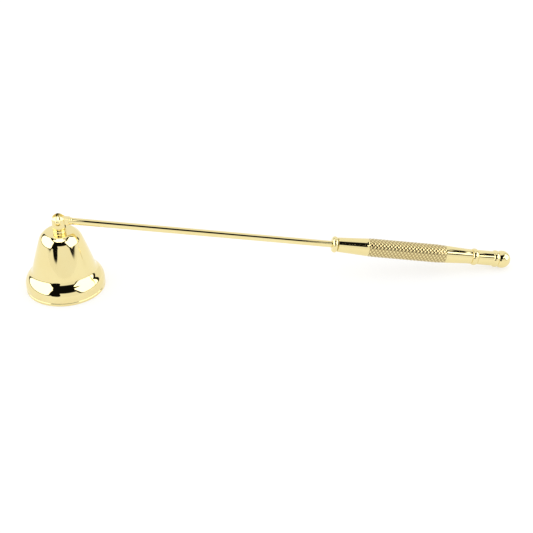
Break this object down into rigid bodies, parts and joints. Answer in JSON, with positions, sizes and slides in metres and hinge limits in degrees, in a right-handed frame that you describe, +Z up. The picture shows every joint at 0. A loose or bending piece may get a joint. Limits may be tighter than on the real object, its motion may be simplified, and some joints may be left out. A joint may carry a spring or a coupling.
{
  "type": "candle snuffer",
  "caption": "Polished brass candle snuffer: a flared bell on a slotted hinge post, with a long thin rod and a knurled grip that ends in a ball knob.",
  "frame": {"origin": "centre of the bell's mouth, on the surface that the snuffer lies on", "axes": "+X from the bell towards the knob along the surface; +Z up, along the bell's axis; +Y along the hinge pin, completing the right hand"},
  "size_m": [0.2537, 0.0404, 0.0414],
  "materials": {
    "bell_brass": "mirror polished and lacquered",
    "hinge_brass": "polished, turned and milled",
    "rod_brass": "polished drawn rod",
    "grip_brass": "polished, with a diamond knurl on the barrel",
    "fastener_steel": "bright nickel plated"
  },
  "bodies": {
    "bell_group": {"bell": "bell_brass", "hinge_post": "hinge_brass", "post_washer": "fastener_steel", "post_screw": "fastener_steel", "hinge_pin": "hinge_brass"},
    "handle": {"rod": "rod_brass", "front_collar": "grip_brass", "grip": "grip_brass", "rear_collar": "grip_brass", "finial_neck": "grip_brass", "ball_knob": "grip_brass", "tie_stud": "fastener_steel"}
  },
  "joints": [
    {"name": "handle_hinge", "type": "hinge", "parent": "bell_group", "child": "handle", "pos_m": [0, 0, 0.0385], "axis": [0, -1, 0], "range_deg": [-19, 215.8]}
  ]
}
